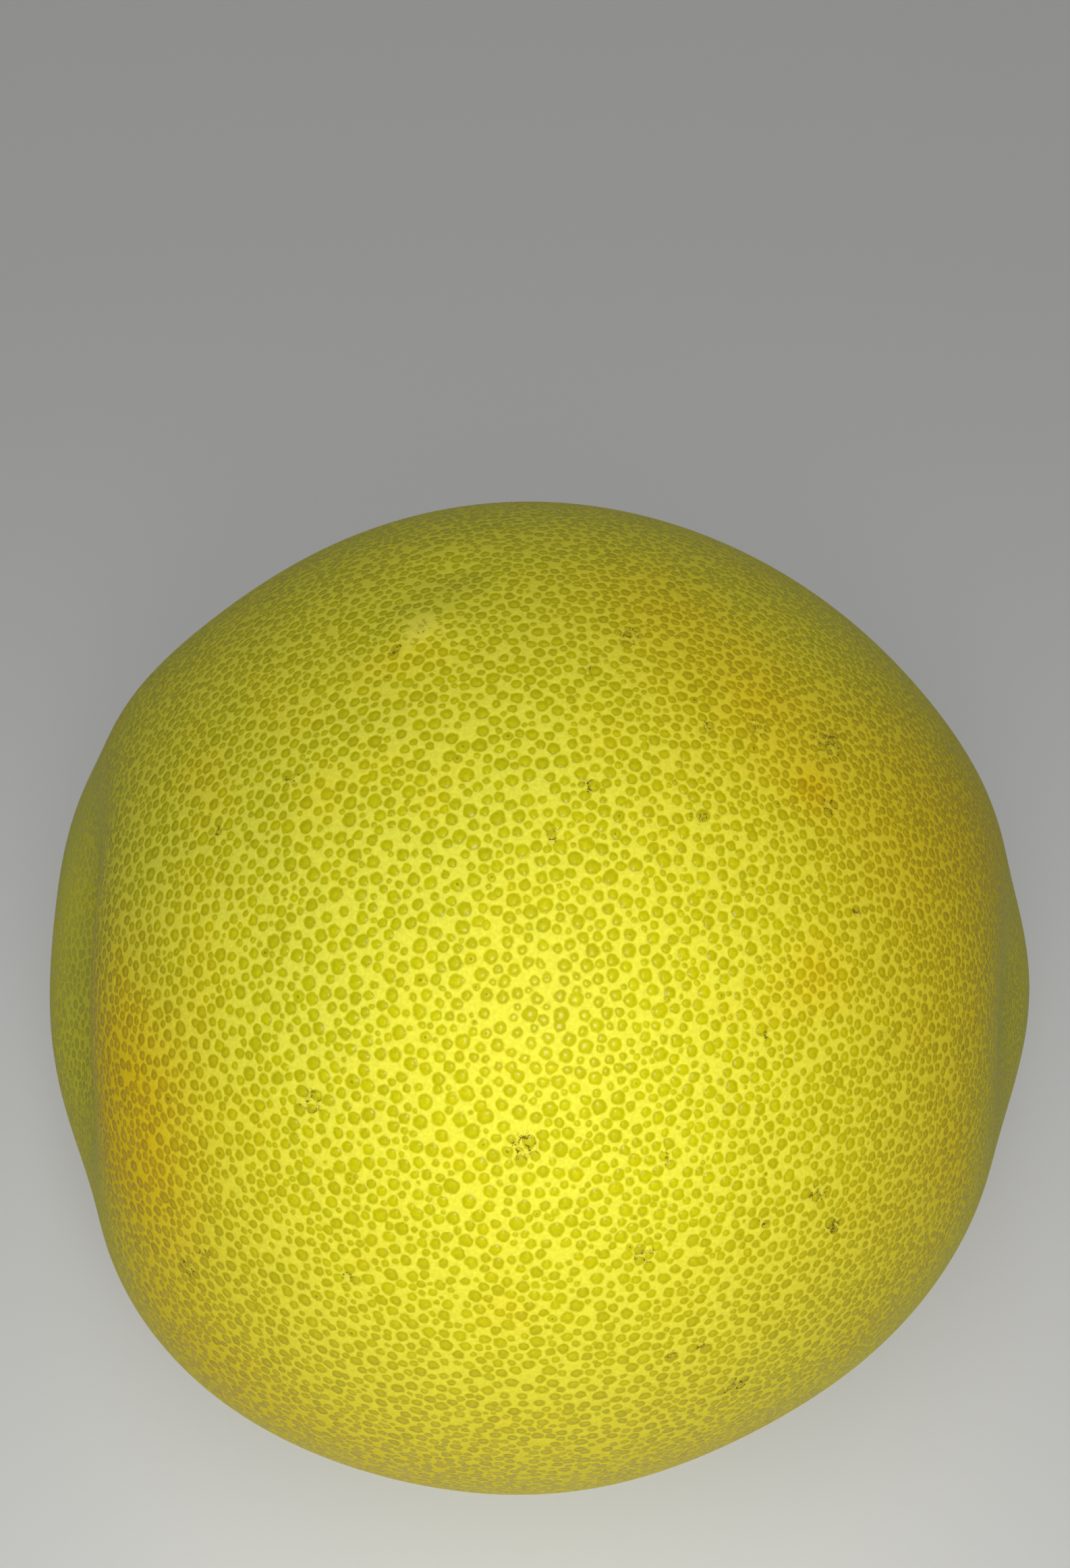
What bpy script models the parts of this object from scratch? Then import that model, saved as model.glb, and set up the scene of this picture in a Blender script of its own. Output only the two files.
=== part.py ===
"""A whole pomelo: one solid, lumpy fruit standing on a small flat spot at its base.

The body is a sphere with soft lobes and hollows grown into it. It stands nearly on its stem end,
so the blossom end points up and leans a little to the left (-X). The origin is the middle of the
bounding box at its lowest level, where the fruit rests. Metres, +Z up.
"""

import math
from collections import namedtuple

import bmesh
import bpy
from mathutils import Vector

# Driving dimensions
BODY_RADIUS = 0.0755        # of the sphere before its lobes
FOOT_RADIUS = 0.013         # of the flat spot that the fruit has pressed into its base

# A lobe is a soft swelling, or a hollow where its height is negative. It is centred on a direction
# seen from the middle of the body, and its spread is the angle over which it fades.
Lobe = namedtuple("Lobe", "azimuth elevation height spread")

LOBES = {
    "left_flank_back": Lobe(164, 11, 0.0044, 11.0),
    "left_flank": Lobe(181, -2, 0.0026, 11.0),
    "left_flank_front": Lobe(192, -9, 0.0028, 11.0),
    "left_low": Lobe(178, -30, 0.0036, 16.0),
    "left_back": Lobe(148, -8, 0.0026, 16.0),
    "left_shoulder_hollow_back": Lobe(189, 24, -0.0058, 9.0),
    "left_shoulder_hollow_front": Lobe(202, 12, -0.0068, 10.5),
    "left_crown": Lobe(169, 37, 0.0014, 9.0),
    "right_flank": Lobe(359, -2, 0.0056, 12.5),
    "right_low": Lobe(0, -28, 0.0036, 17.0),
    "right_back": Lobe(35, -12, 0.0028, 15.0),
    "right_shoulder_hollow": Lobe(343, 14, -0.0044, 10.0),
    "right_crown": Lobe(4, 28, 0.0008, 9.0),
    "front_left_belly": Lobe(231, -8, 0.0020, 15.0),
    "front_right_flat": Lobe(294, -13, -0.0012, 12.0),
    "back_right_flat": Lobe(45, 52, -0.0006, 18.0),
    "back_belly": Lobe(92, -16, 0.0030, 26.0),
}

# The blossom end: a low hump with a shallow crease behind it
BLOSSOM_END = (203, 79)     # azimuth and elevation
BLOSSOM_HUMP = Lobe(*BLOSSOM_END, 0.0006, 2.6)
BLOSSOM_CREASE = Lobe(150, 81, -0.0005, 2.2)

# The stem end: a dimple beside the flat spot, with the dry button of the cut stem in it
STEM_END = (15, -70)        # azimuth and elevation
STEM_DIMPLE = Lobe(*STEM_END, -0.0026, 4.6)
STEM_BUTTON_RADIUS = 0.0034
STEM_BUTTON_HEIGHT = 0.0009
STEM_BUTTON_EDGE = 0.0012   # width of the button's rounded edge

# Mesh
BODY_SUBDIVISIONS = 5       # of the icosphere: edges of about 5.5 mm
END_REGION_ANGLE = 9.0      # the mesh is finer within this angle of either end
END_REGION_PASSES = 2       # each pass halves the edges there
FOOT_SNAP = 0.00015         # a point this near the foot's level is put on it, so no sliver is left

RIND_COLOUR = (0.62, 0.58, 0.05, 1.0)
RIND_ROUGHNESS = 0.38


def direction(azimuth, elevation):
    """The unit vector at these angles, in degrees, with azimuth 0 along +X."""
    turn, rise = math.radians(azimuth), math.radians(elevation)
    return Vector((
        math.cos(rise) * math.cos(turn),
        math.cos(rise) * math.sin(turn),
        math.sin(rise),
    ))


def lobe_height(lobe, outward):
    """How far a lobe lifts the surface that lies outward from the body's middle."""
    away = math.degrees(outward.angle(direction(lobe.azimuth, lobe.elevation)))
    return lobe.height * math.exp(-0.5 * (away / lobe.spread) ** 2)


def stem_button_height(outward):
    """The button's own height: level on top, with a rounded edge."""
    distance = BODY_RADIUS * outward.angle(direction(*STEM_END))
    inside = (STEM_BUTTON_RADIUS - distance) / STEM_BUTTON_EDGE
    share = min(max(inside, 0.0), 1.0)
    return STEM_BUTTON_HEIGHT * share * share * (3.0 - 2.0 * share)


def surface_radius(outward):
    """The distance from the body's middle to its surface in this direction."""
    radius = BODY_RADIUS + sum(lobe_height(lobe, outward) for lobe in LOBES.values())
    radius += lobe_height(BLOSSOM_HUMP, outward) + lobe_height(BLOSSOM_CREASE, outward)
    radius += lobe_height(STEM_DIMPLE, outward) + stem_button_height(outward)
    return radius


def refine_end(mesh, end):
    """Halves the edges round one end of the fruit."""
    middle = direction(*end)
    reach = math.radians(END_REGION_ANGLE)
    for _ in range(END_REGION_PASSES):
        near = [e for e in mesh.edges if all(v.co.angle(middle) < reach for v in e.verts)]
        bmesh.ops.subdivide_edges(mesh, edges=near, cuts=1, use_grid_fill=False)
        bmesh.ops.triangulate(mesh, faces=mesh.faces)


def shape_body(mesh):
    """Moves each point of the sphere out to the fruit's surface."""
    for vertex in mesh.verts:
        outward = vertex.co.normalized()
        vertex.co = outward * surface_radius(outward)


def cut_foot(mesh):
    """Cuts the flat spot that the fruit rests on, and returns its one face."""
    level = -math.sqrt(BODY_RADIUS ** 2 - FOOT_RADIUS ** 2)
    for vertex in mesh.verts:
        if abs(vertex.co.z - level) < FOOT_SNAP:
            vertex.co.z = level
    bmesh.ops.bisect_plane(
        mesh,
        geom=mesh.verts[:] + mesh.edges[:] + mesh.faces[:],
        dist=FOOT_SNAP / 10,
        plane_co=(0, 0, level),
        plane_no=(0, 0, -1),
        clear_outer=True,
    )
    rim = [edge for edge in mesh.edges if edge.is_boundary]
    foot = bmesh.ops.holes_fill(mesh, edges=rim, sides=0)["faces"]
    for edge in rim:
        edge.smooth = False
    return foot


def stand_on_origin(mesh):
    """Moves the fruit so that the origin is under the middle of its box, at the foot's level."""
    corners = [vertex.co for vertex in mesh.verts]
    low = Vector([min(point[axis] for point in corners) for axis in range(3)])
    high = Vector([max(point[axis] for point in corners) for axis in range(3)])
    middle = (low + high) / 2
    bmesh.ops.translate(mesh, verts=mesh.verts, vec=(-middle.x, -middle.y, -low.z))


def rind_material():
    material = bpy.data.materials.new("rind")
    material.use_nodes = True
    shader = material.node_tree.nodes["Principled BSDF"]
    shader.inputs["Base Color"].default_value = RIND_COLOUR
    shader.inputs["Roughness"].default_value = RIND_ROUGHNESS
    shader.inputs["Metallic"].default_value = 0.0
    return material


def make_pomelo():
    mesh = bmesh.new()
    bmesh.ops.create_icosphere(mesh, subdivisions=BODY_SUBDIVISIONS, radius=BODY_RADIUS)
    refine_end(mesh, BLOSSOM_END)
    refine_end(mesh, STEM_END)
    shape_body(mesh)
    foot = cut_foot(mesh)
    stand_on_origin(mesh)
    bmesh.ops.recalc_face_normals(mesh, faces=mesh.faces)
    for face in mesh.faces:
        face.smooth = face not in foot

    data = bpy.data.meshes.new("pomelo")
    mesh.to_mesh(data)
    mesh.free()
    data.materials.append(rind_material())
    fruit = bpy.data.objects.new("pomelo", data)
    bpy.context.scene.collection.objects.link(fruit)
    return fruit


def clear_scene():
    for thing in list(bpy.data.objects):
        bpy.data.objects.remove(thing, do_unlink=True)


clear_scene()
make_pomelo()
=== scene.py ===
import math
from collections import namedtuple

import bpy
import numpy as np
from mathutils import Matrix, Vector, kdtree


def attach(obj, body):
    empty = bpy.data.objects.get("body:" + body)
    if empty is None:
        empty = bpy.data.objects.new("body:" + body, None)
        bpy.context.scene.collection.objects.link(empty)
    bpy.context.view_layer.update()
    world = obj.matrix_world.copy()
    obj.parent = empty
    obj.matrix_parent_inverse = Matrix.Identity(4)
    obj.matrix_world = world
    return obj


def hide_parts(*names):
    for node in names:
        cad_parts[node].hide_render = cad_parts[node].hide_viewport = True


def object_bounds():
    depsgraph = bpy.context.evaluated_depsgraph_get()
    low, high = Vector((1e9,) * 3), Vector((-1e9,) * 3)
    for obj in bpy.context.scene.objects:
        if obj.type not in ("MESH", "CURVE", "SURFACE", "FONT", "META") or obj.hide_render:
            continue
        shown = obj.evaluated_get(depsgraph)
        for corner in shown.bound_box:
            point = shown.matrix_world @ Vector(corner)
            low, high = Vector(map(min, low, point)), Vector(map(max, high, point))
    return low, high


# A whole pomelo on pale paper, seen from above its front. The rind is one mesh with the low relief
# of its oil glands. Each face carries its two nearest glands, and the material draws their colour
# and their wax from that. Lengths are in metres and angles in degrees, and a direction is seen from
# the middle of the fruit's body, with azimuth 0 along +X.

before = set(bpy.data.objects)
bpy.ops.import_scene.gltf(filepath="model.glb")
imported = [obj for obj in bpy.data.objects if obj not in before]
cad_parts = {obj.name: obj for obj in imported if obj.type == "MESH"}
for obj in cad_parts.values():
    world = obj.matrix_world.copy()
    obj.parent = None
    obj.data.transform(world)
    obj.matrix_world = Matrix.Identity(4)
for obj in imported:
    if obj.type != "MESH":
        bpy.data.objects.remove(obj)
cad_low, cad_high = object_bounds()

MM = 0.001

# ---------------------------------------------------------------------------------------------
# The fruit's form. The body, its lobes and its two ends are those of the CAD solid.
# ---------------------------------------------------------------------------------------------

BODY_RADIUS = 75.5 * MM
FOOT_RADIUS = 13.0 * MM
FOOT_ROUNDING = 0.35 * MM       # how softly the rind turns into the flat spot

Lobe = namedtuple("Lobe", "azimuth elevation height spread")

LOBES = [
    Lobe(164, 11, 4.4 * MM, 11.0),      # left flank
    Lobe(181, -2, 2.6 * MM, 11.0),
    Lobe(192, -9, 2.8 * MM, 11.0),
    Lobe(178, -30, 3.6 * MM, 16.0),
    Lobe(148, -8, 2.6 * MM, 16.0),
    Lobe(189, 24, -5.8 * MM, 9.0),      # hollow over the left flank
    Lobe(202, 12, -6.8 * MM, 10.5),
    Lobe(169, 37, 1.4 * MM, 9.0),       # left crown
    Lobe(359, -2, 5.6 * MM, 12.5),      # right flank
    Lobe(0, -28, 3.6 * MM, 17.0),
    Lobe(35, -12, 2.8 * MM, 15.0),
    Lobe(343, 14, -4.4 * MM, 10.0),     # hollow over the right flank
    Lobe(4, 28, 0.8 * MM, 9.0),         # right crown
    Lobe(231, -8, 2.0 * MM, 15.0),      # front
    Lobe(294, -13, -1.2 * MM, 12.0),
    Lobe(45, 52, -0.6 * MM, 18.0),      # back
    Lobe(92, -16, 3.0 * MM, 26.0),
]

BLOSSOM_END = (203, 79)
BLOSSOM_HUMP = Lobe(*BLOSSOM_END, 0.6 * MM, 2.6)
BLOSSOM_CREASE = Lobe(150, 81, -0.5 * MM, 2.2)
BLOSSOM_SCAR_RADIUS = 1.5 * MM  # where no glands grow
BLOSSOM_SCAR_REACH = 2.5 * MM   # of its ragged pale colour

STEM_END = (15, -70)
STEM_DIMPLE = Lobe(*STEM_END, -2.6 * MM, 4.6)
STEM_BUTTON_RADIUS = 3.4 * MM
STEM_BUTTON_HEIGHT = 0.9 * MM
STEM_BUTTON_EDGE = 1.2 * MM

# ---------------------------------------------------------------------------------------------
# The rind's mesh and its oil glands
# ---------------------------------------------------------------------------------------------

GRID = 440                      # cells along each side of the cube that the mesh is drawn from
BORDER_SQUEEZE = math.sqrt(2)   # how many times wider a cell is in a side's middle than at its border
SHEET_COSINE = 0.5              # of an angle a little wider than from a side's middle to its corner

# The most of each size that the fruit may have. The large ones are placed first, and of the others
# only as many as find room. Each size's spread is a share of its radius.
GlandSize = namedtuple("GlandSize", "count radius spread")

GLAND_SIZES = [
    GlandSize(7500, 0.68 * MM, 0.07),
    GlandSize(16000, 0.56 * MM, 0.09),
    GlandSize(16000, 0.44 * MM, 0.10),
    GlandSize(9000, 0.31 * MM, 0.14),
]
RADIUS_RANGE = (0.7, 1.3)       # the widest that a gland's radius strays from its size's own
DARTS_PER_GLAND = 11
SEED = 7
ENDS = 2                        # the fruit's two ends head the list of glands and stay in place

# Glands grow smaller and closer together towards the right (+X)
LEFT_SCALE = 1.04
RIGHT_SHRINK = 0.34
SCALE_WAVE = 0.03

CLOSEST_GAP = 0.02 * MM         # between the edges of two glands as they are placed
EVEN_GAP = 0.30 * MM            # that crowded glands are then pushed apart towards
GAP_RANGE = (0.6, 1.2)          # how that gap differs from pair to pair
JOINED_SHARE = 0.05             # of neighbours that have grown into each other
JOINED_OVERLAP = 0.80           # of the distance at which their edges would touch
JOINED_REACH = 0.5              # of their wanted distance, how much further apart they may start
RELAX_ROUNDS = 16
PUSH_SHARE = 0.35               # of a missing distance that each gland of a pair moves in a round

GLAND_REACH = 1.45 * MM         # the furthest that a gland is looked for from a point of the rind
FULL_GLAND = 0.60 * MM          # a gland of this radius has the full depth
DEPTH_RANGE = (0.4, 1.1)        # of the full depth, for the smallest and the largest glands
SMOOTHING = 0.8                 # of the relief that the smooth patches take away
PIT_DEPTH = 0.07 * MM
PIT_WALL = 0.20 * MM            # half the width of a pit's sloping edge
DOME_HEIGHT = 0.10 * MM
WAX_SHOULDER = 0.52             # of a gland's radius, where its wax starts to slope
WAX_ROUNDING = 0.12             # of a gland's radius, how gently it does
WAX_SLOPE = 0.55

# ---------------------------------------------------------------------------------------------
# Where the rind's colour drifts, partly as painted shade on the left limb, and where it is scuffed
# ---------------------------------------------------------------------------------------------

Patch = namedtuple("Patch", "azimuth elevation strength spread")

GOLDEN_PATCHES = [
    Patch(212, 32, 0.40, 6),            # left side
    Patch(226, 24, 0.90, 7),            # low on the left
    Patch(224, 33, 0.45, 6),
    Patch(236, 7, 0.60, 9),
    Patch(256, -3, 0.45, 11),           # along the lower front
    Patch(284, 0, 0.40, 12),
    Patch(337, 50, 0.60, 10),           # right side
    Patch(322, 34, 0.40, 9),
    Patch(310, 17, 0.35, 10),
    Patch(350, 35, 0.40, 9),
    Patch(334, 68, 0.45, 6),
    Patch(2, 78, 0.40, 6),
    Patch(324, 59, 0.55, 1.6),
    Patch(306, 47, 0.45, 2.2),
    Patch(60, 25, 0.50, 18),            # back
    Patch(118, -12, 0.45, 22),
    Patch(20, -45, 0.50, 20),
]
GREEN_AND_SHADE_PATCHES = [
    Patch(236, 58, 0.60, 15),           # upper left
    Patch(212, 33, 0.80, 7),
    # these two darken the dim left limb: its olive hue is real, its darkness is painted shade
    Patch(198, 22, 0.60, 10),
    Patch(172, 12, 0.90, 16),
    Patch(345, 10, 0.35, 14),
    Patch(105, 45, 0.60, 24),           # back
    Patch(15, -80, 0.80, 22),           # round the stem end
]

SMOOTH_PATCHES = [                  # where the glands hardly show
    Patch(168, 6, 1.0, 16),
    Patch(6, 2, 0.9, 8),
    Patch(203, 79, 0.4, 1.3),
]

Scuff = namedtuple("Scuff", "azimuth elevation radius")
SCUFF_SPREAD = 0.6                  # of its radius

SCUFFS = [
    Scuff(203, 79, 1.5 * MM),           # the blossom end's own flecks
    Scuff(208, 76, 1.3 * MM),
    Scuff(328, 80, 2.0 * MM),           # top
    Scuff(294, 79, 1.0 * MM),
    Scuff(282, 68, 1.1 * MM),
    Scuff(301, 63, 1.2 * MM),
    Scuff(335, 60, 2.6 * MM),
    Scuff(326, 66, 1.5 * MM),
    Scuff(317, 69, 1.2 * MM),
    Scuff(324, 57, 1.6 * MM),
    Scuff(273, 64, 1.1 * MM),
    Scuff(220, 62, 1.2 * MM),
    Scuff(216, 54, 0.9 * MM),
    Scuff(316, 49, 0.9 * MM),
    Scuff(283, 38, 1.0 * MM),           # front
    Scuff(269, 40, 1.9 * MM),
    Scuff(246, 40, 1.7 * MM),
    Scuff(297, 45, 0.9 * MM),
    Scuff(311, 39, 1.0 * MM),
    Scuff(298, 30, 1.6 * MM),
    Scuff(299, 26, 1.3 * MM),
    Scuff(292, 30, 1.0 * MM),
    Scuff(280, 30, 1.4 * MM),
    Scuff(253, 26, 1.0 * MM),
    Scuff(285, 19, 1.1 * MM),
    Scuff(282, 19, 1.0 * MM),
    Scuff(288, 12, 2.2 * MM),
    Scuff(238, 21, 1.4 * MM),
    Scuff(236, 18, 1.6 * MM),
    Scuff(75, 55, 2.2 * MM),            # back
    Scuff(100, 20, 2.6 * MM),
    Scuff(130, 35, 1.6 * MM),
    Scuff(40, 5, 2.4 * MM),
    Scuff(150, -20, 2.0 * MM),
    Scuff(80, -30, 2.8 * MM),
]


def direction(azimuth, elevation):
    """The unit vector at these angles, in degrees, with azimuth 0 along +X."""
    turn, rise = math.radians(azimuth), math.radians(elevation)
    return np.array([
        math.cos(rise) * math.cos(turn),
        math.cos(rise) * math.sin(turn),
        math.sin(rise),
    ])


def angles_from(outward, azimuth, elevation):
    """The angle in degrees between each unit vector and a direction."""
    cosine = outward @ direction(azimuth, elevation)
    return np.degrees(np.arccos(np.clip(cosine, -1.0, 1.0)))


def smooth_step(value, low, high):
    """0 below low, 1 above high, and a soft rise between."""
    share = np.clip((value - low) / (high - low), 0.0, 1.0)
    return share * share * (3.0 - 2.0 * share)


def lobe_height(lobe, outward):
    """How far a lobe lifts the surface in each direction."""
    away = angles_from(outward, lobe.azimuth, lobe.elevation)
    return lobe.height * np.exp(-0.5 * (away / lobe.spread) ** 2)


def stem_button_height(outward):
    """The button's own height: level on top, with a rounded edge."""
    inside = STEM_BUTTON_RADIUS - BODY_RADIUS * np.radians(angles_from(outward, *STEM_END))
    return STEM_BUTTON_HEIGHT * smooth_step(inside, 0.0, STEM_BUTTON_EDGE)


def surface_points(outward, relief=0.0):
    """Points of the rind in these directions from the body's middle, with the flat foot."""
    radius = BODY_RADIUS + sum(lobe_height(lobe, outward) for lobe in LOBES)
    radius += lobe_height(BLOSSOM_HUMP, outward) + lobe_height(BLOSSOM_CREASE, outward)
    radius += lobe_height(STEM_DIMPLE, outward) + stem_button_height(outward)
    points = outward * (radius + relief)[:, None]
    foot_level = -math.sqrt(BODY_RADIUS ** 2 - FOOT_RADIUS ** 2)
    above = (points[:, 2] - foot_level) / FOOT_ROUNDING
    points[:, 2] = foot_level + FOOT_ROUNDING * np.logaddexp(0.0, above)
    return points


# ---------------------------------------------------------------------------------------------
# A closed grid over the sphere: six square sheets that share their borders
# ---------------------------------------------------------------------------------------------

def sheet_axes():
    """For each side of a cube, its outward axis and the two axes that its sheet runs along."""
    unit = np.eye(3)
    for axis in range(3):
        along, across = unit[(axis + 1) % 3], unit[(axis + 2) % 3]
        yield unit[axis], along, across
        yield -unit[axis], across, along


def sheet_directions(axes, angles):
    """Unit vectors for each pair of angles on one sheet."""
    outward, along, across = axes
    slopes = np.tan(angles)
    rays = outward + slopes[:, None, None] * along + slopes[None, :, None] * across
    return rays / np.linalg.norm(rays, axis=2, keepdims=True)


def corner_angles():
    return np.linspace(-math.pi / 4, math.pi / 4, GRID + 1)


def middle_angles():
    corners = corner_angles()
    return (corners[1:] + corners[:-1]) / 2


def grid_mesh():
    """The grid's unit vectors, each sheet's corner numbers, and the quads that join them."""
    steps = np.arange(GRID + 1)
    sheets, keys = [], []
    for axes in sheet_axes():
        outward, along, across = axes
        place = GRID * (outward + 1) / 2 * np.abs(outward)
        place = place + steps[:, None, None] * along + steps[None, :, None] * across
        place = np.rint(place).astype(np.int64)
        keys.append((place[..., 0] * (GRID + 1) + place[..., 1]) * (GRID + 1) + place[..., 2])
        sheets.append(sheet_directions(axes, corner_angles()))
    _, first, number = np.unique(np.array(keys), return_index=True, return_inverse=True)
    number = number.reshape(6, GRID + 1, GRID + 1)
    outward = np.array(sheets).reshape(-1, 3)[first]
    quads = np.stack(
        [number[:, :-1, :-1], number[:, 1:, :-1], number[:, 1:, 1:], number[:, :-1, 1:]], axis=-1
    )
    return outward, number, quads.reshape(-1, 4)


# ---------------------------------------------------------------------------------------------
# Glands
# ---------------------------------------------------------------------------------------------

def gland_scale(outward):
    """How large the glands in each direction are, against their usual size."""
    waves = np.sin(5.1 * outward[:, 1] + 1.3) * np.sin(4.3 * outward[:, 2] + 0.4)
    return LEFT_SCALE - RIGHT_SHRINK * np.maximum(outward[:, 0], 0.0) + SCALE_WAVE * waves


def random_directions(rng, count):
    rays = rng.normal(size=(count, 3))
    return rays / np.linalg.norm(rays, axis=1, keepdims=True)


def throw_darts(rng, size):
    """Random places for glands of one size, closer together where glands are small."""
    darts = random_directions(rng, size.count * DARTS_PER_GLAND)
    scale = gland_scale(darts)
    kept = rng.uniform(size=len(darts)) < (scale.min() / scale) ** 2
    darts, scale = darts[kept], scale[kept]
    spread = rng.normal(1.0, size.spread, len(darts)).clip(*RADIUS_RANGE)
    return darts, size.radius * scale * spread


def place_glands(rng):
    """Unit vectors and radii of all the glands, which leave the two ends of the fruit clear."""
    centres = np.array([direction(*BLOSSOM_END), direction(*STEM_END)])
    radii = np.array([BLOSSOM_SCAR_RADIUS, STEM_BUTTON_RADIUS])
    for size in GLAND_SIZES:
        darts, dart_radii = throw_darts(rng, size)
        free = clear_of(darts, dart_radii, centres, radii)
        chosen = choose_apart(darts, dart_radii, free, size.count)
        centres = np.concatenate([centres, darts[chosen]])
        radii = np.concatenate([radii, dart_radii[chosen]])
        centres = relax(rng, centres, radii)
    return centres[ENDS:], radii[ENDS:]


def tree_of(points):
    tree = kdtree.KDTree(len(points))
    for number, point in enumerate(points):
        tree.insert(point, number)
    tree.balance()
    return tree


def clear_of(darts, dart_radii, centres, radii):
    """Whether each dart's gland would stand clear of all the glands placed so far."""
    free = np.ones(len(darts), bool)
    tree = tree_of(darts)
    widest = dart_radii.max() + CLOSEST_GAP
    for centre, radius in zip(centres, radii):
        for _, other, away in tree.find_range(centre, (radius + widest) / BODY_RADIUS):
            if away * BODY_RADIUS < radius + dart_radii[other] + CLOSEST_GAP:
                free[other] = False
    return free


def choose_apart(darts, radii, free, count):
    """Takes free darts in turn, each of which rules out those too close to it."""
    tree = tree_of(darts)
    widest = radii.max() + CLOSEST_GAP
    chosen = []
    for number in range(len(darts)):
        if len(chosen) == count:
            break
        if free[number]:
            chosen.append(number)
            reach = (radii[number] + widest) / BODY_RADIUS
            for _, other, away in tree.find_range(darts[number], reach):
                if away * BODY_RADIUS < radii[number] + radii[other] + CLOSEST_GAP:
                    free[other] = False
    return chosen


def neighbours(centres, radii):
    """Pairs of glands that stand near enough to push each other."""
    tree = tree_of(centres)
    reach = (2 * radii[ENDS:].max() + GAP_RANGE[1] * EVEN_GAP) / BODY_RADIUS
    pairs = [
        (number, other)
        for number, centre in enumerate(centres)
        for _, other, _ in tree.find_range(centre, reach)
        if number < other
    ]
    return np.array(pairs).T


def relax(rng, centres, radii):
    """Pushes crowded glands apart, so that the pale network between them is even in width."""
    first, second = neighbours(centres, radii)
    together = radii[first] + radii[second]
    gap = EVEN_GAP * gland_scale(centres[first]) * rng.uniform(*GAP_RANGE, len(first))
    joined = (rng.uniform(size=len(first)) < JOINED_SHARE) & (first >= ENDS)
    wanted = np.where(joined, JOINED_OVERLAP * together, together + gap)
    fixed = centres[:ENDS].copy()
    for _ in range(RELAX_ROUNDS):
        apart = centres[second] - centres[first]
        away = np.linalg.norm(apart, axis=1)
        short = wanted / BODY_RADIUS - away
        pulled = joined & (short > -JOINED_REACH * wanted / BODY_RADIUS)
        push = np.where(pulled, short, np.maximum(short, 0.0))
        move = apart * (PUSH_SHARE * push / away)[:, None]
        for axis in range(3):
            centres[:, axis] += np.bincount(second, move[:, axis], len(centres))
            centres[:, axis] -= np.bincount(first, move[:, axis], len(centres))
        centres /= np.linalg.norm(centres, axis=1, keepdims=True)
        centres[:ENDS] = fixed
    return centres


def gland_windows(axes, angles, centres):
    """Pairs of a gland and a point of one sheet that lies near it, as (gland, point) numbers."""
    outward, along, across = axes
    step = angles[1] - angles[0]
    reach = int(math.ceil(GLAND_REACH / BODY_RADIUS / step * BORDER_SQUEEZE))
    facing = np.flatnonzero(centres @ outward > SHEET_COSINE)
    near = centres[facing]
    row = np.rint((np.arctan2(near @ along, near @ outward) - angles[0]) / step).astype(np.int64)
    column = np.rint((np.arctan2(near @ across, near @ outward) - angles[0]) / step).astype(np.int64)
    offsets = np.arange(-reach, reach + 1)
    count = len(angles)
    rows, columns = np.broadcast_arrays(
        row[:, None, None] + offsets[None, :, None],
        column[:, None, None] + offsets[None, None, :],
    )
    held = (rows >= 0) & (rows < count) & (columns >= 0) & (columns < count)
    glands = np.broadcast_to(facing[:, None, None], rows.shape)[held]
    return glands, rows[held] * count + columns[held]


def edge_distances(points, centres, radii, glands, numbers):
    """How far each point lies outside its gland's edge, in metres."""
    return BODY_RADIUS * np.linalg.norm(points[numbers] - centres[glands], axis=1) - radii[glands]


def gland_relief(distance, radius):
    """A gland's height: a round pit with a low dome in it."""
    inside = smooth_step(-distance, -PIT_WALL, PIT_WALL)
    share = np.clip(1.0 + distance / radius, 0.0, 1.0)
    size = (radius / FULL_GLAND).clip(*DEPTH_RANGE)
    return size * inside * (DOME_HEIGHT * (1.0 - share ** 2) ** 2 - PIT_DEPTH)


def rind_relief(centres, radii, count, sheet_numbers):
    """The height of each of the grid's points over the smooth rind."""
    relief = np.zeros(count)
    for axes, numbers in zip(sheet_axes(), sheet_numbers):
        angles = corner_angles()
        points = sheet_directions(axes, angles).reshape(-1, 3)
        glands, near = gland_windows(axes, angles, centres)
        distance = edge_distances(points, centres, radii, glands, near)
        heights = np.zeros(len(points))
        np.minimum.at(heights, near, gland_relief(distance, radii[glands]))
        relief[numbers.ravel()] = heights
    return relief


def two_nearest(centres, radii):
    """For each quad of the grid, the two glands whose edges are nearest, or -1.

    A distance and its gland's number are packed into one whole number, the rank, whose minimum
    over a quad's glands is the nearest of them.
    """
    nearest = []
    most = np.iinfo(np.int64).max
    room = 1 << 18              # more than there are glands
    steps = 1e6                 # of distance in a millimetre
    lift = 10.0                 # millimetres, which keep every rank above 0
    for axes in sheet_axes():
        angles = middle_angles()
        points = sheet_directions(axes, angles).reshape(-1, 3)
        glands, near = gland_windows(axes, angles, centres)
        distance = edge_distances(points, centres, radii, glands, near)
        rank = np.rint((distance / MM + lift) * steps).astype(np.int64) * room + glands
        first = np.full(len(points), most)
        np.minimum.at(first, near, rank)
        rank[rank == first[near]] = most
        second = np.full(len(points), most)
        np.minimum.at(second, near, rank)
        pair = np.stack([first, second], axis=1)
        nearest.append(np.where(pair == most, -1, pair % room))
    return np.concatenate(nearest)


# ---------------------------------------------------------------------------------------------
# The rind's mesh
# ---------------------------------------------------------------------------------------------

def mesh_from(points, quads, name):
    mesh = bpy.data.meshes.new(name)
    mesh.vertices.add(len(points))
    mesh.vertices.foreach_set("co", points.astype(np.float32).ravel())
    mesh.loops.add(quads.size)
    mesh.loops.foreach_set("vertex_index", quads.astype(np.int32).ravel())
    mesh.polygons.add(len(quads))
    mesh.polygons.foreach_set("loop_start", np.arange(0, quads.size, 4, dtype=np.int32))
    mesh.update(calc_edges=True)
    mesh.shade_smooth()
    return mesh


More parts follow.
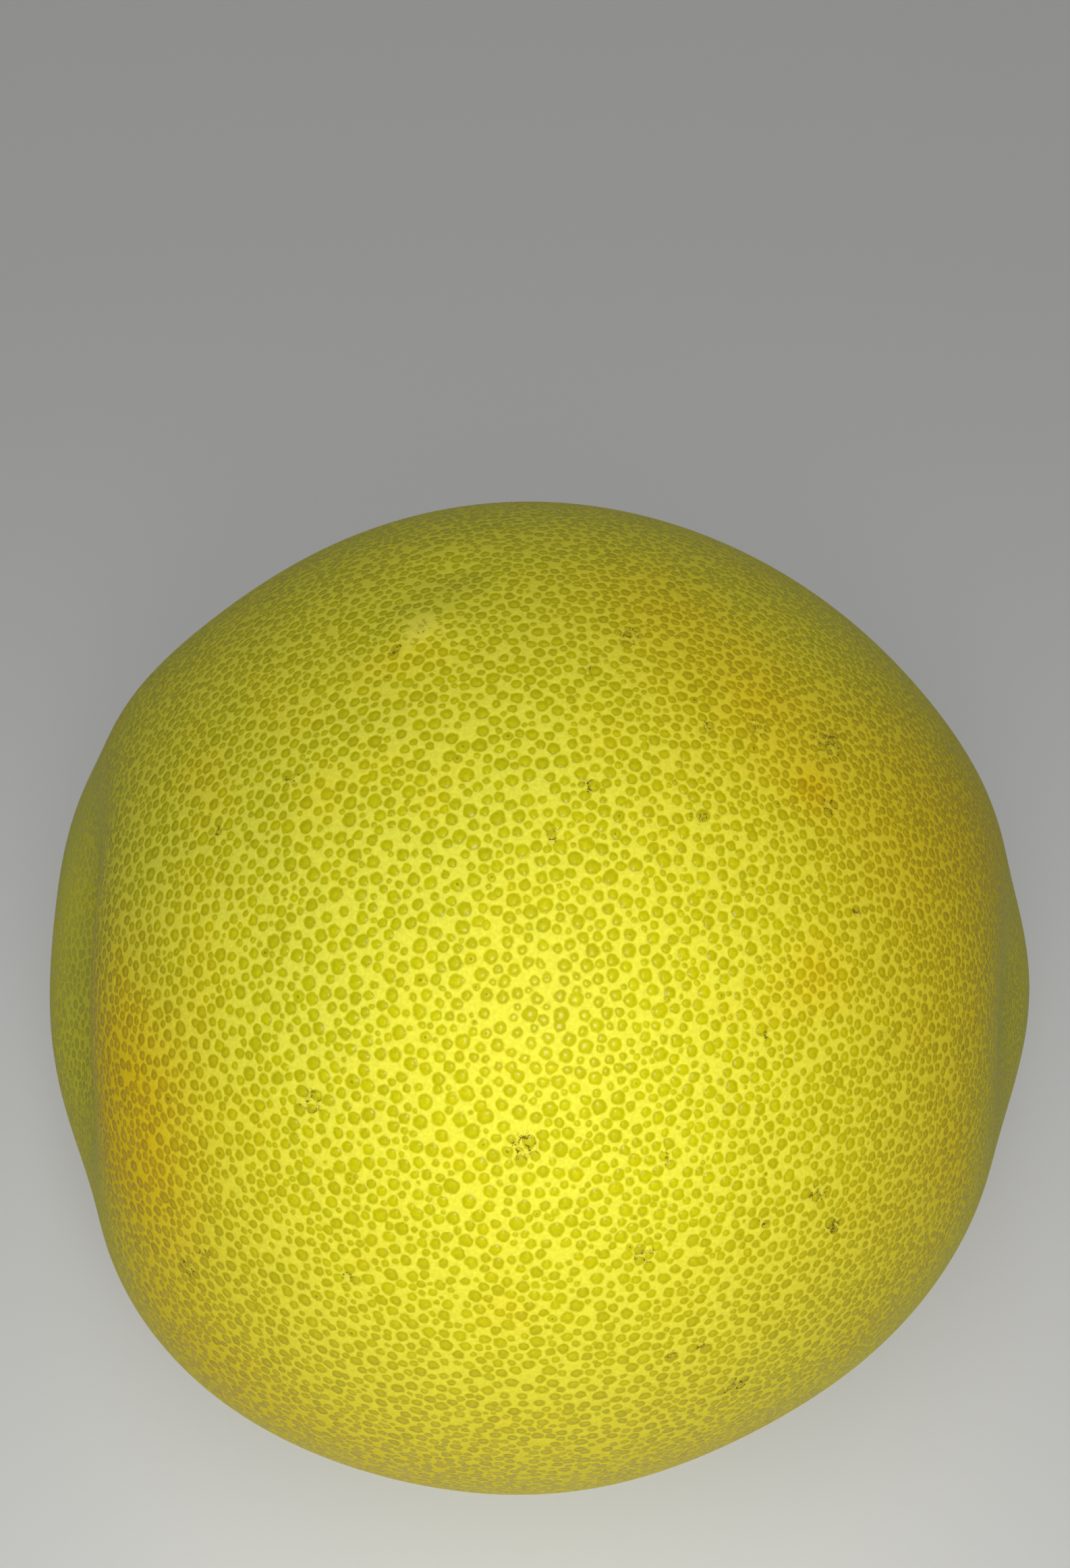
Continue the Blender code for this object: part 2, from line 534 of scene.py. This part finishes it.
def store(mesh, name, kind, domain, values):
    field = "vector" if kind == "FLOAT_VECTOR" else "value"
    attribute = mesh.attributes.new(name, kind, domain)
    attribute.data.foreach_set(field, np.ascontiguousarray(values, np.float32).ravel())


def store_glands(mesh, centres, radii, tones, shift):
    """Each face carries its two nearest glands, so that the material can draw them exactly."""
    places = surface_points(centres) + shift
    grown = radii * np.linalg.norm(places - shift, axis=1) / BODY_RADIUS
    for name, gland in zip(("near", "next"), two_nearest(centres, radii).T):
        missing = gland < 0
        middle = np.where(missing[:, None], 0.0, places[gland])
        store(mesh, f"{name}_gland", "FLOAT_VECTOR", "FACE", middle)
        store(mesh, f"{name}_radius", "FLOAT", "FACE", np.where(missing, 0.0, grown[gland]))
        store(mesh, f"{name}_tone", "FLOAT", "FACE", np.where(missing, 0.5, tones[gland]))


def patch_field(outward, patches):
    """How strongly the patches colour the rind in each direction, from 0 to 1."""
    field = np.zeros(len(outward))
    for patch in patches:
        away = angles_from(outward, patch.azimuth, patch.elevation)
        field += patch.strength * np.exp(-0.5 * (away / patch.spread) ** 2)
    return field.clip(0.0, 1.0)


def scuff_field(outward):
    """1 in the middle of a scuff, falling to 0 at twice its radius."""
    field = np.zeros(len(outward))
    for scuff in SCUFFS:
        away = BODY_RADIUS * np.radians(angles_from(outward, scuff.azimuth, scuff.elevation))
        field = np.maximum(field, np.exp(-0.5 * (away / (SCUFF_SPREAD * scuff.radius)) ** 2))
    return field


def round_field(outward, end, radius):
    """1 in the middle of one end's scar or button, 0.5 at its radius."""
    away = BODY_RADIUS * np.radians(angles_from(outward, *end))
    return 1.0 - smooth_step(away, 0.0, 2.0 * radius)


def store_fields(mesh, outward, smooth):
    """Each point carries what colours the rind there besides its glands."""
    fields = {
        "golden": patch_field(outward, GOLDEN_PATCHES),
        # the green field also holds painted shade on the dim left limb
        "green": patch_field(outward, GREEN_AND_SHADE_PATCHES),
        "smooth": smooth,
        "scuff": scuff_field(outward),
        "scar": round_field(outward, BLOSSOM_END, BLOSSOM_SCAR_REACH),
        "button": round_field(outward, STEM_END, STEM_BUTTON_RADIUS),
    }
    for name, values in fields.items():
        store(mesh, name, "FLOAT", "POINT", values)


def shift_into_cad(points):
    """The move that puts the points in the middle of the CAD box, with the foot at its level."""
    low, high = points.min(axis=0), points.max(axis=0)
    cad_middle = (np.array(cad_low) + np.array(cad_high)) / 2
    return np.array([
        cad_middle[0] - (low[0] + high[0]) / 2,
        cad_middle[1] - (low[1] + high[1]) / 2,
        cad_low[2] - low[2],
    ])


def make_rind():
    """The whole fruit, one closed skin with its glands, and where its body's middle is."""
    rng = np.random.default_rng(SEED)
    outward, sheet_numbers, quads = grid_mesh()
    centres, radii = place_glands(rng)
    smooth = patch_field(outward, SMOOTH_PATCHES)
    relief = rind_relief(centres, radii, len(outward), sheet_numbers) * (1.0 - SMOOTHING * smooth)
    points = surface_points(outward, relief)
    shift = shift_into_cad(points)
    mesh = mesh_from(points + shift, quads, "pomelo_rind")
    store_glands(mesh, centres, radii, rng.uniform(size=len(radii)), shift)
    store_fields(mesh, outward, smooth)
    rind = bpy.data.objects.new("pomelo_rind", mesh)
    bpy.context.scene.collection.objects.link(rind)
    return rind, Vector(shift)


# ---------------------------------------------------------------------------------------------
# Materials
# ---------------------------------------------------------------------------------------------

class Nodes:
    """Short calls that add shader nodes and return their outputs."""

    def __init__(self, name):
        self.material = bpy.data.materials.new(name)
        self.material.use_nodes = True
        self.tree = self.material.node_tree
        self.shader = self.tree.nodes["Principled BSDF"]

    def put(self, socket, value):
        if isinstance(value, bpy.types.NodeSocket):
            self.tree.links.new(value, socket)
        elif isinstance(value, (tuple, list)) and len(value) == 3 and socket.type == "RGBA":
            socket.default_value = (*value, 1.0)
        else:
            socket.default_value = value

    def set(self, name, value):
        self.put(self.shader.inputs[name], value)

    def math(self, operation, first, second=0.0, third=0.0, clamp=False):
        node = self.tree.nodes.new("ShaderNodeMath")
        node.operation, node.use_clamp = operation, clamp
        for socket, value in zip(node.inputs, (first, second, third)):
            self.put(socket, value)
        return node.outputs[0]

    def vector(self, operation, first, second=(0.0, 0.0, 0.0), result="Vector"):
        node = self.tree.nodes.new("ShaderNodeVectorMath")
        node.operation = operation
        self.put(node.inputs[0], first)
        if operation == "SCALE":
            self.put(node.inputs["Scale"], second)
        else:
            self.put(node.inputs[1], second)
        return node.outputs[result]

    def smooth(self, value, low, high, at_low=0.0, at_high=1.0):
        node = self.tree.nodes.new("ShaderNodeMapRange")
        node.interpolation_type = "SMOOTHSTEP"
        names = ("Value", "From Min", "From Max", "To Min", "To Max")
        for name, item in zip(names, (value, low, high, at_low, at_high)):
            self.put(node.inputs[name], item)
        return node.outputs["Result"]

    def mix(self, factor, first, second):
        """Blends two colours. The sockets' numbers are those of the node's colour mode."""
        node = self.tree.nodes.new("ShaderNodeMix")
        node.data_type = "RGBA"
        self.put(node.inputs[0], factor)
        self.put(node.inputs[6], first)
        self.put(node.inputs[7], second)
        return node.outputs[2]

    def noise(self, place, scale, detail=2.0, roughness=0.5):
        node = self.tree.nodes.new("ShaderNodeTexNoise")
        self.put(node.inputs["Vector"], place)
        self.put(node.inputs["Scale"], scale)
        self.put(node.inputs["Detail"], detail)
        self.put(node.inputs["Roughness"], roughness)
        return node.outputs["Fac"]

    def attribute(self, name, output="Fac"):
        node = self.tree.nodes.new("ShaderNodeAttribute")
        node.attribute_name = name
        return node.outputs[output]

    def place(self):
        return self.tree.nodes.new("ShaderNodeTexCoord").outputs["Object"]

    def bump(self, height):
        """The normal of a surface with this height, in millimetres."""
        node = self.tree.nodes.new("ShaderNodeBump")
        self.put(node.inputs["Height"], height)
        self.put(node.inputs["Distance"], MM)
        self.put(node.inputs["Strength"], 1.0)
        return node.outputs["Normal"]


# Linear colours
NETWORK = (0.58, 0.542, 0.038)
NETWORK_GOLDEN = (0.60, 0.44, 0.009)
NETWORK_GREEN = (0.48, 0.475, 0.050)
GLAND = (0.405, 0.375, 0.0002)
GLAND_GOLDEN = (0.42, 0.280, 0.0002)
GLAND_GREEN = (0.31, 0.312, 0.0008)
CORK = (0.26, 0.205, 0.018)
SCRATCH = (0.070, 0.050, 0.004)
SCAR = (0.60, 0.55, 0.055)
STEM_CORK = (0.22, 0.155, 0.070)
STEM_CORK_DARK = (0.06, 0.040, 0.018)
PAPER = (0.87, 0.87, 0.90)

EDGE_WOBBLE = 0.56              # millimetres that noise moves a gland's edge in and out, in all
EDGE_JOIN = 0.06                # millimetres over which the edges of two close glands melt together
NETWORK_ROUGHNESS = 0.62
GLAND_ROUGHNESS = 0.42
MARK_ROUGHNESS = 0.3            # that a scratch adds
RIND_SPECULAR = 0.05
RIND_SPECULAR_TINT = (1.0, 0.96, 0.18)
SHADED_RELIEF = 0.45            # of the glands' height that the shader adds to the mesh's own
GRAIN = 0.012                   # millimetres
SWELL = 0.05
WAX_WEIGHT = 0.34
WAX_ROUGHNESS = 0.22


def gland_distance(nodes, place, name):
    """How far this point is outside the edge of its near or next gland, in millimetres."""
    away = nodes.vector("DISTANCE", place, nodes.attribute(f"{name}_gland", "Vector"), "Value")
    out = nodes.math("SUBTRACT", away, nodes.attribute(f"{name}_radius"))
    return nodes.math("MULTIPLY", out, 1 / MM)


def gland_height(nodes, edge, share):
    """The relief of a full-sized gland in millimetres, shaped as in gland_relief."""
    wall = PIT_WALL / MM
    inside = nodes.smooth(edge, wall, -wall)
    slope = nodes.math("SUBTRACT", 1.0, nodes.math("MULTIPLY", share, share), clamp=True)
    dome = nodes.math("MULTIPLY", nodes.math("MULTIPLY", slope, slope), DOME_HEIGHT / MM)
    return nodes.math("MULTIPLY", inside, nodes.math("SUBTRACT", dome, PIT_DEPTH / MM))


def wax_height(nodes, share, radius):
    """The clear wax over each gland, in millimetres: level in the middle, then sloping evenly."""
    past = nodes.math("SUBTRACT", share, WAX_SHOULDER)
    bend = nodes.math("MULTIPLY_ADD", past, past, WAX_ROUNDING ** 2)
    fall = nodes.math("ADD", past, nodes.math("SQRT", bend))
    return nodes.math("MULTIPLY", nodes.math("MULTIPLY", fall, radius), -0.5 * WAX_SLOPE)


def rind_colours(nodes, place, edge, share):
    """The clean rind: a pale network round darker glands, drifting to golden and to green. Each
    gland's colour holds painted shade at its sunken edge and painted light on its dome, and the green
    also holds painted shade on the dim left limb.
    """
    golden = nodes.attribute("golden")
    # green is a real hue drift, and on the left limb it is also painted shade
    green = nodes.attribute("green")
    drift = nodes.noise(place, scale=90.0, detail=3.0)
    golden = nodes.math("ADD", golden, nodes.smooth(drift, 0.50, 0.90, 0.0, 0.35), clamp=True)
    green = nodes.math("MULTIPLY", green, nodes.smooth(drift, 0.75, 0.30, 0.5, 1.1), clamp=True)
    network = nodes.mix(golden, nodes.mix(green, NETWORK, NETWORK_GREEN), NETWORK_GOLDEN)
    gland = nodes.mix(golden, nodes.mix(green, GLAND, GLAND_GREEN), GLAND_GOLDEN)
    tone = nodes.math("MULTIPLY_ADD", nodes.attribute("near_tone"), 0.14, 0.92)
    # painted shade and light: each gland's colour darkens towards its sunken edge and lightens on its
    # dome, as its relief would be shaded
    painted_relief_shade = nodes.smooth(share, 0.30, 0.85, 1.06, 0.93)
    tone = nodes.math("MULTIPLY", tone, painted_relief_shade)
    gland = nodes.vector("SCALE", gland, tone)
    shown = nodes.smooth(nodes.attribute("smooth"), 0.0, 1.0, 1.0, 0.15)
    inside = nodes.math("MULTIPLY", nodes.smooth(edge, 0.19, -0.09), shown)
    speckle = nodes.noise(place, scale=2600.0, detail=2.0)
    colour = nodes.mix(inside, network, gland)
    return nodes.vector("SCALE", colour, nodes.smooth(speckle, 0.2, 0.8, 0.90, 1.08))


def rind_marks(nodes, place, edge, colour):
    """Fine scratches and corky specks, mostly along the edges of glands."""
    scuff = nodes.attribute("scuff")
    along_edge = nodes.smooth(nodes.math("ABSOLUTE", edge), 0.11, 0.03, 0.0, 0.7)
    crumbs = nodes.noise(place, scale=1500.0, detail=3.0, roughness=0.6)
    lines = nodes.noise(place, scale=620.0, detail=4.0, roughness=0.6)
    lines = nodes.math("ABSOLUTE", nodes.math("SUBTRACT", lines, 0.5))
    lines = nodes.smooth(lines, 0.024, 0.006)
    marks = nodes.math("MAXIMUM", along_edge, lines)
    marks = nodes.math("MULTIPLY", marks, nodes.smooth(crumbs, 0.50, 0.58))
    marks = nodes.math("MULTIPLY", marks, nodes.smooth(scuff, 0.25, 0.55))
    halo = nodes.smooth(scuff, 0.2, 0.9, 0.0, 0.5)
    halo = nodes.math("MULTIPLY", halo, nodes.smooth(crumbs, 0.40, 0.62))
    colour = nodes.mix(halo, colour, CORK)
    return nodes.mix(marks, colour, SCRATCH), marks


def gland_dots(nodes, place, share, colour):
    """A few glands, picked by the last digits of their tone, have a small dark spot."""
    digits = nodes.math("FRACT", nodes.math("MULTIPLY", nodes.attribute("near_tone"), 37.0))
    chosen = nodes.smooth(digits, 0.975, 0.980)
    wander = nodes.noise(place, scale=1300.0, detail=1.0)
    spot = nodes.smooth(nodes.math("ADD", share, wander), 0.76, 0.58)
    dots = nodes.math("MULTIPLY", chosen, spot)
    return nodes.mix(nodes.math("MULTIPLY", dots, 0.50), colour, SCRATCH)


def rind_ends(nodes, place, colour):
    """The pale scar of the blossom and the corky button of the stem."""
    ragged = nodes.math("MULTIPLY_ADD", nodes.noise(place, scale=700.0, detail=3.0), 1.8, -0.9)
    scar = nodes.smooth(nodes.math("ADD", nodes.attribute("scar"), ragged), 0.48, 0.66)
    colour = nodes.mix(nodes.math("MULTIPLY", scar, 0.8), colour, SCAR)
    button = nodes.math("MULTIPLY_ADD", ragged, 0.15, nodes.attribute("button"))
    cork = nodes.mix(nodes.noise(place, scale=1100.0, detail=4.0), STEM_CORK_DARK, STEM_CORK)
    return nodes.mix(nodes.smooth(button, 0.44, 0.56), colour, cork)


def gland_edges(nodes, place):
    """Where a point lies among the glands.

    Returns how far it is outside the nearest edge, how far out it is in its near gland, from 0 in
    the middle to 1 at the edge and beyond, and that gland's radius. Lengths are in millimetres.
    """
    near = gland_distance(nodes, place, "near")
    after = gland_distance(nodes, place, "next")
    noise = nodes.noise(place, scale=1150.0, detail=1.5)
    wobble = nodes.math("MULTIPLY_ADD", noise, EDGE_WOBBLE, -0.5 * EDGE_WOBBLE)
    near = nodes.math("ADD", near, wobble)
    edge = nodes.math("SMOOTH_MIN", near, nodes.math("ADD", after, wobble), EDGE_JOIN)
    radius = nodes.math("MULTIPLY", nodes.attribute("near_radius"), 1 / MM)
    share = nodes.math("ADD", 1.0, nodes.math("DIVIDE", near, radius), clamp=True)
    return edge, share, radius


def rind_height(nodes, place, edge, share):
    """What the shader adds to the mesh's relief, in millimetres."""
    grain = nodes.math("MULTIPLY", nodes.noise(place, scale=2400.0, detail=3.0), GRAIN)
    swell = nodes.math("MULTIPLY", nodes.noise(place, scale=420.0, detail=2.0), SWELL)
    height = nodes.math("MULTIPLY", gland_height(nodes, edge, share), SHADED_RELIEF)
    return nodes.math("ADD", height, nodes.math("ADD", grain, swell))


def rind_material():
    """The yellow-green rind, with clear wax over its glands."""
    nodes = Nodes("rind")
    place = nodes.place()
    edge, share, radius = gland_edges(nodes, place)
    colour = rind_colours(nodes, place, edge, share)
    colour = rind_ends(nodes, place, colour)
    colour, marks = rind_marks(nodes, place, edge, colour)
    nodes.set("Base Color", gland_dots(nodes, place, share, colour))
    inside = nodes.smooth(edge, 0.08, -0.08)
    rough = nodes.smooth(inside, 0.0, 1.0, NETWORK_ROUGHNESS, GLAND_ROUGHNESS)
    nodes.set("Roughness", nodes.math("MULTIPLY_ADD", marks, MARK_ROUGHNESS, rough, clamp=True))
    nodes.set("Specular IOR Level", RIND_SPECULAR)
    nodes.set("Specular Tint", RIND_SPECULAR_TINT)
    nodes.set("Normal", nodes.bump(rind_height(nodes, place, edge, share)))
    clean = nodes.math("SUBTRACT", inside, marks, clamp=True)
    nodes.set("Coat Weight", nodes.math("MULTIPLY", clean, WAX_WEIGHT))
    nodes.set("Coat Roughness", WAX_ROUGHNESS)
    nodes.set("Coat Normal", nodes.bump(wax_height(nodes, share, radius)))
    return nodes.material


def floor_material():
    nodes = Nodes("paper")
    nodes.set("Base Color", PAPER)
    nodes.set("Roughness", 0.9)
    return nodes.material


# ---------------------------------------------------------------------------------------------
# Camera, light and floor
# ---------------------------------------------------------------------------------------------

CAMERA_ELEVATION = 54.0         # of the camera, seen from the fruit's middle
CAMERA_DISTANCE = 2.549 * BODY_RADIUS
CAMERA_TILT = 9.04              # how far above the fruit's middle the camera aims, in degrees
LENS = 26.0

# The lamps' places are from the camera, their sizes in metres and their powers in watts
Lamp = namedtuple("Lamp", "place width height power")

KEY = Lamp((-0.006, -0.028, -0.030), 0.07, 0.31, 0.200)
GLINT = Lamp((0.005, -0.020, -0.020), 0.045, 0.045, 0.080)
WORLD_COLOUR = (1.0, 1.0, 0.94)
WORLD_STRENGTH = 0.325

FLOOR_RADIUS = 1.3              # of its flat middle
FLOOR_BEND = 0.8                # the radius of the bend that rises all round it
FLOOR_SPOKES = 96
FLOOR_BEND_RINGS = 24


def make_camera(middle):
    rise = math.radians(CAMERA_ELEVATION)
    data = bpy.data.cameras.new("camera")
    data.lens = LENS
    data.sensor_width = 36.0
    data.clip_start = 0.005
    camera = bpy.data.objects.new("camera", data)
    camera.location = middle + CAMERA_DISTANCE * Vector((0.0, -math.cos(rise), math.sin(rise)))
    camera.rotation_euler = (math.radians(90.0 - CAMERA_ELEVATION + CAMERA_TILT), 0.0, 0.0)
    bpy.context.scene.collection.objects.link(camera)
    bpy.context.scene.camera = camera
    return camera


def make_area_light(name, lamp, camera, target):
    """A soft oval lamp near the camera that faces the target."""
    data = bpy.data.lights.new(name, "AREA")
    data.shape = "ELLIPSE"
    data.size = lamp.width
    data.size_y = lamp.height
    data.energy = lamp.power
    light = bpy.data.objects.new(name, data)
    light.location = camera.location + Vector(lamp.place)
    light.rotation_euler = (target - light.location).to_track_quat("-Z", "Y").to_euler()
    bpy.context.scene.collection.objects.link(light)
    return light


def make_world():
    world = bpy.data.worlds.new("studio")
    world.use_nodes = True
    background = world.node_tree.nodes["Background"]
    background.inputs["Color"].default_value = (*WORLD_COLOUR, 1.0)
    background.inputs["Strength"].default_value = WORLD_STRENGTH
    bpy.context.scene.world = world


def make_floor():
    """A wide round sheet that curves up far from the fruit."""
    profile = [(0.02, 0.0)]         # each ring's radius and height
    profile += [(FLOOR_RADIUS * share, 0.0) for share in np.linspace(0.05, 1.0, 12)]
    for angle in np.linspace(0.0, math.pi / 2, FLOOR_BEND_RINGS)[1:]:
        rise = FLOOR_BEND * (1.0 - math.cos(angle))
        profile.append((FLOOR_RADIUS + FLOOR_BEND * math.sin(angle), rise))
    points = [(0.0, 0.0, 0.0)]
    for radius, height in profile:
        for turn in np.arange(FLOOR_SPOKES) * 2 * math.pi / FLOOR_SPOKES:
            points.append((radius * math.cos(turn), radius * math.sin(turn), height))
    faces = []
    for spoke in range(FLOOR_SPOKES):
        after = (spoke + 1) % FLOOR_SPOKES
        faces.append((0, 1 + spoke, 1 + after))
        for start in range(1, 1 + (len(profile) - 1) * FLOOR_SPOKES, FLOOR_SPOKES):
            outer = start + FLOOR_SPOKES
            faces.append((start + spoke, outer + spoke, outer + after, start + after))
    mesh = bpy.data.meshes.new("floor")
    mesh.from_pydata(points, [], faces)
    mesh.shade_smooth()
    mesh.materials.append(floor_material())
    floor = bpy.data.objects.new("floor", mesh)
    bpy.context.scene.collection.objects.link(floor)


rind, middle = make_rind()
rind.data.materials.append(rind_material())
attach(rind, "root")
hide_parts("pomelo")

camera = make_camera(middle)
make_floor()
make_world()
key = make_area_light("key", KEY, camera, middle)
key.visible_glossy = False      # so large a lamp would veil the wax with its reflection
make_area_light("glint", GLINT, camera, middle)
bpy.context.scene.view_settings.view_transform = "Standard"
